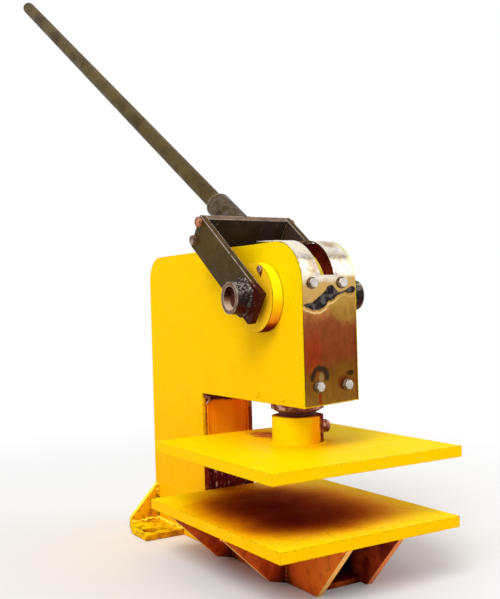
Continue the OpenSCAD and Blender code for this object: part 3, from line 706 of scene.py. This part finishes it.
def stain(f, colour, centre, reach, fade, share, tint, ragged=None):
    """Tints a share of the sheet round centre. It fades out over a span given in units of reach."""
    away = f.away("XZ", centre, reach)
    if ragged:
        away = f.calc("ADD", away, ragged)
    return f.mix(f.span(away, *fade, share, 0.0), colour, tint)


def bend_tints(f, colour):
    """Cream, lavender and tan clouds over the bend, duller where it turns down, with a brown patch on
    the right and a green-yellow right edge."""
    up = f.axis("Z")
    bend = f.span(up, 452.0, 462.0)
    clouds = f.ramp(f.noise(50, 2, shift=4.0), [
        (0.34, screen(204, 190, 196)),
        (0.46, screen(244, 236, 222)),
        (0.56, screen(250, 240, 206)),
        (0.68, screen(206, 176, 124)),
    ])
    colour = f.mix(f.both(bend, 0.8), colour, clouds)
    turning = f.span(up, 482.0, 498.0, 1.0, 0.0)
    dull = f.both(bend, turning, f.span(f.noise(60, 2, shift=1.0), 0.38, 0.6, 0.35, 1.0))
    colour = f.mix(dull, colour, screen(176, 164, 156), blend="MULTIPLY")
    uneven = f.calc("MULTIPLY", f.noise(60, 3), 0.6)
    colour = stain(f, colour, (26, 505), (16, 7), (0.7, 1.5), 0.8, screen(164, 122, 66), uneven)
    return f.mix(f.both(bend, f.span(f.axis("X"), 40.0, 48.0)), colour, screen(226, 232, 150))


def front_tints(f, colour, ragged):
    """An olive patch on the right, a red glow on the left, a dark right flank and brown mottling."""
    up = f.axis("Z")
    colour = stain(f, colour, (34, 410), (44, 26), (0.6, 1.1), 0.85, screen(176, 136, 58), ragged)
    colour = stain(f, colour, (-36, 340), (26, 40), (0.3, 1.2), 0.6, screen(164, 50, 18), ragged)
    flank = f.both(f.span(f.axis("X"), 40.0, 48.0, 0.0, 0.7), f.span(up, 370.0, 395.0, 1.0, 0.0))
    colour = f.mix(flank, colour, screen(96, 26, 10))
    mottle = f.span(f.noise(70, 6, (1.6, 1.0, 0.7), shift=2.0), 0.35, 0.7, 0.0, 0.35)
    return f.mix(f.both(mottle, f.span(up, 400.0, 440.0, 1.0, 0.0)), colour, screen(74, 40, 16))


def wave_reflection(f, colour):
    """A painted reflection: a dark wave under the upper screws, and a pale line along its lower edge that
    fades to the right.
    """
    across = f.axis("X")
    height = f.curve(across, [
        (-48, 413), (-36, 412), (-20, 416), (-8, 423), (2, 431), (12, 430), (22, 431), (34, 434), (48, 435),
    ])
    half_width = f.curve(across, [
        (-48, 1), (-38, 5), (-24, 9), (-8, 12), (2, 12), (11, 7), (21, 3), (28, 3), (36, 6), (48, 1),
    ])
    above = f.calc("ADD", f.calc("SUBTRACT", f.axis("Z"), height), f.wander(7.0, 90, 3, 6.0))
    inside = f.calc("SUBTRACT", half_width, f.calc("ABSOLUTE", above))
    edge = f.calc("ABSOLUTE", f.calc("ADD", f.calc("ADD", above, half_width), 3.5))
    outline = f.both(f.span(edge, 0.6, 2.6, 0.85, 0.0), f.span(across, 4.0, 24.0, 1.0, 0.25))
    colour = f.mix(outline, colour, screen(240, 204, 132))
    wave = f.mix(f.span(f.noise(120, 3, shift=8.0), 0.4, 0.62), screen(40, 34, 34), screen(96, 88, 84))
    return f.mix(f.span(inside, 0.0, 2.0), colour, wave)


def screw_stains(f, colour, ragged):
    """Round the lower screws: an arch with a pale spot in it and a red run below on the left, and a blot
    with a dark squiggle above it on the right."""
    bow = f.calc("ADD", f.away("XZ", (-22, 308), (17, 16)), ragged)
    arch = f.span(f.calc("ABSOLUTE", f.calc("SUBTRACT", bow, 0.8)), 0.1, 0.4, 0.95, 0.0)
    colour = f.mix(f.both(arch, f.span(f.axis("Z"), 300.0, 306.0)), colour, screen(52, 38, 26))
    colour = stain(f, colour, (-19, 308), (6, 10), (0.4, 1.0), 0.7, screen(160, 128, 74))
    colour = stain(f, colour, (24, 298), (20, 12), (0.4, 1.1), 0.8, screen(98, 24, 10), ragged)
    colour = stain(f, colour, (34, 312), (10, 6), (0.4, 1.0), 0.85, screen(40, 24, 14), ragged)
    return stain(f, colour, (-22, 278), (3.5, 14), (0.5, 1.1), 0.8, screen(142, 34, 10))


def stainless():
    """Polished stainless sheet with the tints and stains of heat, oil and long use, painted reflections and
    a painted shadow round the screws.
    """
    f = Finish("stainless_sheet")
    ragged = f.wander(0.9, 70, 4, 9.0)
    colour = bend_tints(f, heat_and_reflection_bands(f))
    colour = wave_reflection(f, front_tints(f, colour, ragged))
    colour = screw_stains(f, colour, ragged)
    # the slot's cut edges are dull
    cut = f.both(f.span(f.sideways(), 0.8, 0.95), f.span(f.aside(), 20.0, 24.0, 1.0, 0.0))
    colour = f.mix(f.both(cut, 0.85), colour, screen(96, 78, 58))
    # painted shadow: the sheet darkens round the screw heads that stand on its front
    shut = f.span(f.openness(0.008), 0.45, 0.85, 0.9, 0.0)
    shut = f.both(shut, f.span(f.facing("Y"), -0.8, -0.6, 1.0, 0.0))
    colour = f.mix(shut, colour, screen(70, 44, 24))
    relief = f.calc("ADD", f.noise(12, 2, shift=3.0), f.calc("MULTIPLY", f.noise(45, 3, shift=7.0), 0.12))
    roughness = f.span(f.noise(90, 4, shift=4.0), 0.3, 0.7, 0.10, 0.24)
    return f.done(colour, roughness, relief, 1.5 * MM, 1.0)


FINISHES = {
    yellow: "back_plate head_floor_plate front_plate guide_block",
    housing_yellow: "left_bearing_housing right_bearing_housing",
    throat_yellow: "throat_plate",
    collar_yellow: "collar",
    plate_yellow: "upper_plate",
    crown_yellow: "crosshead",
    side_yellow: "left_side_plate right_side_plate",
    rib_yellow: "left_front_rib right_front_rib left_rear_rib right_rear_rib bottom_plate",
    bed_yellow: "bed_plate",
    rough_yellow: "left_foot_lug right_foot_lug left_lug_gusset right_lug_gusset",
    arm_paint: "left_arm right_arm",
    black_paint: "cross_plate",
    hub_paint: "left_hub right_hub",
    socket_paint: "handle_socket",
    handle_paint: "handle",
    stainless(): "front_cover",
    plated: "cover_screws housing_screws",
    washer_steel: "cover_washers",
    yoke_steel: "yoke_bolts",
    machined: "eccentric eccentric_key spacer_sleeves hub_keys block_cheeks cheek_screws crosshead_pins",
    ram_steel: "ram shaft",
    bush_rust: "guide_bush",
    rusted: "set_bolt lock_nut",
    bronze: "left_bearing_bush right_bearing_bush slide_block",
}
for material, names in FINISHES.items():
    for name in names.split():
        for slot in nodes[name].material_slots:
            slot.material = material


# ---- building welds and heads -------------------------------------------------------


def add_piece(name, shape, body, material, crease=math.pi):
    """Turns a bmesh into a smooth-shaded piece that rides on body, with sharp edges past the crease angle."""
    bmesh.ops.recalc_face_normals(shape, faces=shape.faces)
    for edge in shape.edges:
        edge.smooth = edge.calc_face_angle(0.0) < crease
    mesh = bpy.data.meshes.new(name)
    shape.to_mesh(mesh)
    shape.free()
    for face in mesh.polygons:
        face.use_smooth = True
    mesh.materials.append(material)
    piece = bpy.data.objects.new(name, mesh)
    bpy.context.scene.collection.objects.link(piece)
    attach(piece, body)
    return piece


def turns(count):
    """Angles of count points round a circle."""
    return [2 * math.pi * i / count for i in range(count)]


def skin(shape, rings, closed=False):
    """Faces between rings of vertices, with a cap at each end unless the rings close on themselves."""
    pairs = list(zip(rings, rings[1:]))
    if closed:
        pairs.append((rings[-1], rings[0]))
    for first, second in pairs:
        for k in range(len(first)):
            shape.faces.new((first[k - 1], first[k], second[k], second[k - 1]))
    if not closed:
        shape.faces.new(rings[0])
        shape.faces.new(rings[-1])


def line(start, end):
    return [Vector(start), Vector(end)]


def ring(centre, axis, radius, count=72):
    """Closed circle round axis, which ends on its first point."""
    turn = Vector(axis).to_track_quat("Z", "Y")
    spots = [Vector((radius * math.cos(angle), radius * math.sin(angle), 0)) for angle in turns(count)]
    return [Vector(centre) + turn @ spot for spot in spots + spots[:1]]


def evenly(points, step):
    """Points about step apart along a broken line."""
    lengths = [(b - a).length for a, b in zip(points, points[1:])]
    total = sum(lengths)
    count = max(2, round(total / step))
    made, index, passed = [], 0, 0.0
    for i in range(count + 1):
        target = total * i / count
        while index < len(lengths) - 1 and passed + lengths[index] < target:
            passed += lengths[index]
            index += 1
        made.append(points[index].lerp(points[index + 1], (target - passed) / lengths[index]))
    return made


def bead(shape, run, size, rough, shift, sides=10):
    """One bead along a run of points, in overlapping ripples. It thins out at the ends of an open run."""
    closed = (run[0] - run[-1]).length < 1e-6
    points = evenly(run, size * RING_STEP)
    if closed:
        points.pop()
    last = len(points) - 1
    rings = []
    for i, point in enumerate(points):
        before = points[i - 1] if closed or i else point
        after = points[(i + 1) % len(points)] if closed or i < last else point
        turn = (after - before).to_track_quat("Z", "Y")
        ripple = 0.82 + 0.18 * abs(math.sin(i * 0.9 + 1.5 * noise.noise(point * 90)))
        thin = 1.0 if closed or 0 < i < last else BEAD_END
        loop = []
        for angle in turns(sides):
            out = turn @ Vector((math.cos(angle), math.sin(angle), 0))
            spot = (point + out * size) / size
            lump = 1 + rough * noise.noise(spot * 0.8 + shift)
            loop.append(shape.verts.new(point + out * size * ripple * thin * lump))
        rings.append(loop)
    skin(shape, rings, closed)


def weld(name, runs, size, body, material, rough=0.3):
    """A piece of uneven beads along runs of points, half sunk in the joint."""
    shape = bmesh.new()
    for number, run in enumerate(runs):
        bead(shape, run, size, rough, Vector((number * 7.3, 0, 0)))
    return add_piece(name, shape, body, material)


def plugs(name, places, radius, body, material):
    """Plug welds ground almost flush: low uneven domes. Each place is a centre and the way it faces."""
    shape = bmesh.new()
    for centre, facing in places:
        turn = facing.to_track_quat("Z", "Y")
        rings = []
        for reach, rise in ((1.0, -0.02), (0.92, 0.09), (0.6, 0.13), (0.2, 0.11)):
            loop = []
            for angle in turns(PLUG_POINTS):
                spot = Vector((math.cos(angle), math.sin(angle), 0)) * radius * reach
                uneven = 1 + 0.12 * noise.noise(spot * 300 + centre * 100)
                loop.append(shape.verts.new(centre + turn @ (spot * uneven + Vector((0, 0, rise * radius)))))
            rings.append(loop)
        skin(shape, rings)
    return add_piece(name, shape, body, material)


def solids(node):
    """Lowest and highest corner of each separate solid of a CAD node, always in the same order."""
    shape = bmesh.new()
    shape.from_mesh(nodes[node].data)
    bmesh.ops.remove_doubles(shape, verts=shape.verts, dist=1e-6)
    left, found = set(shape.verts), []
    while left:
        todo, group = [left.pop()], []
        while todo:
            vertex = todo.pop()
            group.append(vertex.co.copy())
            for edge in vertex.link_edges:
                other = edge.other_vert(vertex)
                if other in left:
                    left.remove(other)
                    todo.append(other)
        found.append((Vector(map(min, *group)), Vector(map(max, *group))))
    shape.free()
    return sorted(found, key=lambda box: tuple(box[0]))


def outer_ends(node, facing=None):
    """Middle of the outer end of each solid of a node and the way it faces: facing, or to its own side."""
    ends = []
    for low, high in solids(node):
        centre = middle((low, high))
        way = Vector(facing or (math.copysign(1, centre.x), 0, 0))
        for i, part in enumerate(way):
            if part:
                centre[i] = high[i] if part > 0 else low[i]
        ends.append((centre, way))
    return ends


def hex_heads(node, name, flats, height, body, material, facing=None, bore=0.0, tilt=0.0):
    """Chamfered hexagon heads in place of a node's plain ones, each turned by tilt, with a dished middle
    or the hole of a nut."""
    angles = turns(HEAD_POINTS)
    corners = [flats / 2 / math.cos(angle % (math.pi / 3) - math.pi / 6) for angle in angles]
    rim = flats * 0.47
    hole = max(bore / 2, flats * 0.05)
    dish = 0.0 if bore else flats * -0.04
    outlines = (
        [(corner, -height) for corner in corners],
        [(corner, (corner - rim) * -CHAMFER) for corner in corners],
        [(rim, 0.0)] * HEAD_POINTS,
        [(hole, dish)] * HEAD_POINTS,
    )
    shape = bmesh.new()
    for centre, way in outer_ends(node, facing):
        turn = way.to_track_quat("Z", "Y") @ Quaternion((0, 0, 1), tilt)
        rings = []
        for outline in outlines:
            loop = []
            for angle, (radius, rise) in zip(angles, outline):
                spot = Vector((radius * math.cos(angle), radius * math.sin(angle), rise))
                loop.append(shape.verts.new(centre + turn @ spot))
            rings.append(loop)
        skin(shape, rings)
    piece = add_piece(name, shape, body, material, crease=math.radians(20))
    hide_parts(node)
    return piece


# ---- welds and heads of this machine ------------------------------------------------


def lever_box(node):
    """Lowest and highest corner of a lever node along the lever's axes: across, along the arms and square
    to them."""
    turned = [from_lever.inverted() @ vertex.co for vertex in nodes[node].data.vertices]
    return Vector(map(min, *turned)), Vector(map(max, *turned))


def lever_welds():
    for side, name, arm in ((-1, "left_hub_weld", "left_arm"), (1, "right_hub_weld", "right_arm")):
        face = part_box(arm)[0 if side < 0 else 1].x
        centre = (face + side * 0.5 * MM, shaft_axis.y, shaft_axis.z)
        weld(name, [ring(centre, (1, 0, 0), hub_radius)], 5.4 * MM, "lever", weld_paint, rough=0.9)
    rear_face = lever_box("cross_plate")[1].y
    radius = lever_box("handle_socket")[1].x
    foot = [from_lever @ point for point in ring((0, rear_face, HANDLE_RISE), (0, 1, 0), radius)]
    weld("socket_weld", [foot], 4 * MM, "lever", socket_paint, rough=0.5)


def collar_weld():
    low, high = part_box("collar")
    centre = middle((low, high))
    foot = ring((centre.x, centre.y, low.z), (0, 0, 1), (high.y - low.y) / 2)
    weld("collar_weld", [foot], 2.8 * MM, "ram", plate_yellow)


def jaw_welds():
    bed_low, bed_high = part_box("bed_plate")
    runs = []
    for wall, prefix in ((frame_left, "left"), (frame_right, "right")):
        for place in ("front", "rear"):
            low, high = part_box(f"{prefix}_{place}_rib")
            tip = low.x if wall < 0 else high.x
            for y in (low.y, high.y):
                runs.append(line((wall, y, low.z + WELD_INSET), (wall, y, high.z)))
                runs.append(line((wall, y, high.z), (tip, y, high.z)))
        runs.append(line((wall, bed_low.y + WELD_INSET, bed_low.z), (wall, bed_high.y, bed_low.z)))
    weld("jaw_welds", runs, 3.2 * MM, "frame", rib_yellow, rough=0.5)


def lug_welds():
    runs = []
    for side, prefix in ((-1, "left"), (1, "right")):
        lug_low, lug_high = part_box(f"{prefix}_foot_lug")
        gusset_low, gusset_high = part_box(f"{prefix}_lug_gusset")
        wall = lug_high.x if side < 0 else lug_low.x
        tip = gusset_low.x if side < 0 else gusset_high.x
        corner = (wall, gusset_low.y, lug_high.z)
        runs.append(line((wall, lug_low.y, lug_high.z), corner))
        runs.append(line(corner, (wall, gusset_low.y, gusset_high.z)))
        runs.append(line(corner, (tip, gusset_low.y, lug_high.z)))
    weld("lug_welds", runs, 4.6 * MM, "frame", rough_yellow, rough=0.9)


def throat_welds():
    """Seams down both sides of the throat, and rusty spatter in its upper left corner."""
    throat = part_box("throat_plate")[0].y
    bed_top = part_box("bed_plate")[1].z
    head_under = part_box("head_floor_plate")[0].z
    runs = [line((x, throat, bed_top), (x, throat, head_under)) for x in (web_left, web_right)]
    weld("throat_seams", runs, 2.2 * MM, "frame", throat_yellow, rough=0.5)
    points = [
        Vector((web_left + across * MM, throat - 1 * MM, head_under - down * MM))
        for across, down in ((-8, 3), (-2, 6), (-7, 10), (-1, 14), (4, 9), (1, 20), (-3, 25))
    ]
    weld("throat_spatter", [points], 2.4 * MM, "frame", bush_rust, rough=0.9)


def back_welds():
    """Seams up the back, round the upper corner and forward along the top."""
    low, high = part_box("back_plate")
    outline = [(high.y, low.z)]
    for i in range(CORNER_STEPS + 1):
        angle = math.radians(90 * i / CORNER_STEPS)
        y = high.y - REAR_CORNER + REAR_CORNER * math.cos(angle)
        outline.append((y, high.z - REAR_CORNER + REAR_CORNER * math.sin(angle)))
    outline.append((low.y, high.z))
    runs = [[Vector((x, y, z)) for y, z in outline] for x in (web_left, web_right)]
    weld("back_seams", runs, 1.6 * MM, "frame", yellow, rough=0.4)


def plug_welds():
    ram_low, ram_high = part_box("ram")
    ram_y = (ram_low.y + ram_high.y) / 2
    places = [
        (Vector((x, ram_y + step, PLUG_HEIGHT)), Vector((x, 0, 0)))
        for x in (frame_left, frame_right) for step in (-PLUG_STEP, PLUG_STEP)
    ]
    plugs("plug_welds", places, 7 * MM, "frame", yellow)


def fastener_heads():
    hex_heads("cover_screws", "cover_screw_heads", 13 * MM, 5.3 * MM, "frame", plated, facing=(0, -1, 0))
    hex_heads("housing_screws", "housing_screw_heads", 10 * MM, 4 * MM, "frame", rusty_bolt)
    hex_heads("yoke_bolts", "yoke_bolt_heads", 15 * MM, 6.4 * MM, "lever", yoke_steel, tilt=0.3)
    hex_heads("set_bolt", "set_bolt_head", 18 * MM, 7.5 * MM, "ram", rusted, tilt=0.2)
    hex_heads("lock_nut", "lock_nut_head", 18 * MM, 8 * MM, "ram", rusted, bore=11 * MM)


lever_welds()
collar_weld()
jaw_welds()
lug_welds()
throat_welds()
back_welds()
plug_welds()
fastener_heads()


# ---- stage, lights and camera -------------------------------------------------------


def studio():
    """White surroundings, dimmer for diffuse light, with a key and a fill lamp."""
    world = bpy.data.worlds.new("studio")
    bpy.context.scene.world = world
    world.use_nodes = True
    sky = Nodes(world.node_tree)
    strength = sky.node("MapRange", {"Value": sky.seen_directly(), "To Min": SKY_DIM, "To Max": 1.0})
    background = world.node_tree.nodes["Background"]
    background.inputs["Color"].default_value = (1, 1, 1, 1)
    sky.put(background.inputs["Strength"], strength.outputs[0])

    for name, toward, power, spread in (
        ("key", (-0.52, -0.40, 0.76), 1.9, 30),
        ("fill", (0.75, -0.45, 0.48), 0.45, 40),
    ):
        lamp = bpy.data.lights.new(name, "SUN")
        lamp.energy = power
        lamp.angle = math.radians(spread)
        holder = bpy.data.objects.new(name, lamp)
        holder.rotation_mode = "QUATERNION"
        holder.rotation_quaternion = Vector(toward).to_track_quat("Z", "Y")
        bpy.context.scene.collection.objects.link(holder)


def floor():
    """Pale floor that runs into the white background away from the object."""
    mesh = bpy.data.meshes.new("floor")
    shape = bmesh.new()
    bmesh.ops.create_circle(shape, cap_ends=True, segments=96, radius=FLOOR_RADIUS)
    shape.to_mesh(mesh)
    shape.free()
    piece = bpy.data.objects.new("floor", mesh)
    piece.location = (0, middle(cad_box).y, cad_box[0].z - FLOOR_DROP)
    bpy.context.scene.collection.objects.link(piece)
    f = Finish("floor", base_color=(0.82, 0.82, 0.82, 1), roughness=0.9, specular_ior_level=0.0)
    away = f.node("VectorMath", {0: f.place}, operation="LENGTH").outputs["Value"]
    share = f.both(f.span(away, FADE_START, FADE_END), f.seen_directly())
    white = f.node("Emission").outputs[0]
    blend = f.node("MixShader", {0: share, 1: f.shader.outputs[0], 2: white})
    f.put(f.tree.nodes["Material Output"].inputs["Surface"], blend.outputs[0])
    mesh.materials.append(f.material)


def camera():
    data = bpy.data.cameras.new("camera")
    data.sensor_width = SENSOR
    data.lens = LENS
    data.shift_x, data.shift_y = SHIFT
    holder = bpy.data.objects.new("camera", data)
    azimuth, elevation = math.radians(CAMERA_AZIMUTH), math.radians(CAMERA_ELEVATION)
    back = Vector((
        math.sin(azimuth) * math.cos(elevation), -math.cos(azimuth) * math.cos(elevation), math.sin(elevation)
    ))
    holder.location = CAMERA_PLACE
    holder.rotation_mode = "QUATERNION"
    roll = Quaternion((0, 0, 1), math.radians(CAMERA_ROLL))
    holder.rotation_quaternion = (-back).to_track_quat("-Z", "Y") @ roll
    bpy.context.scene.collection.objects.link(holder)
    bpy.context.scene.camera = holder


studio()
floor()
camera()
bpy.context.scene.view_settings.view_transform = "Standard"
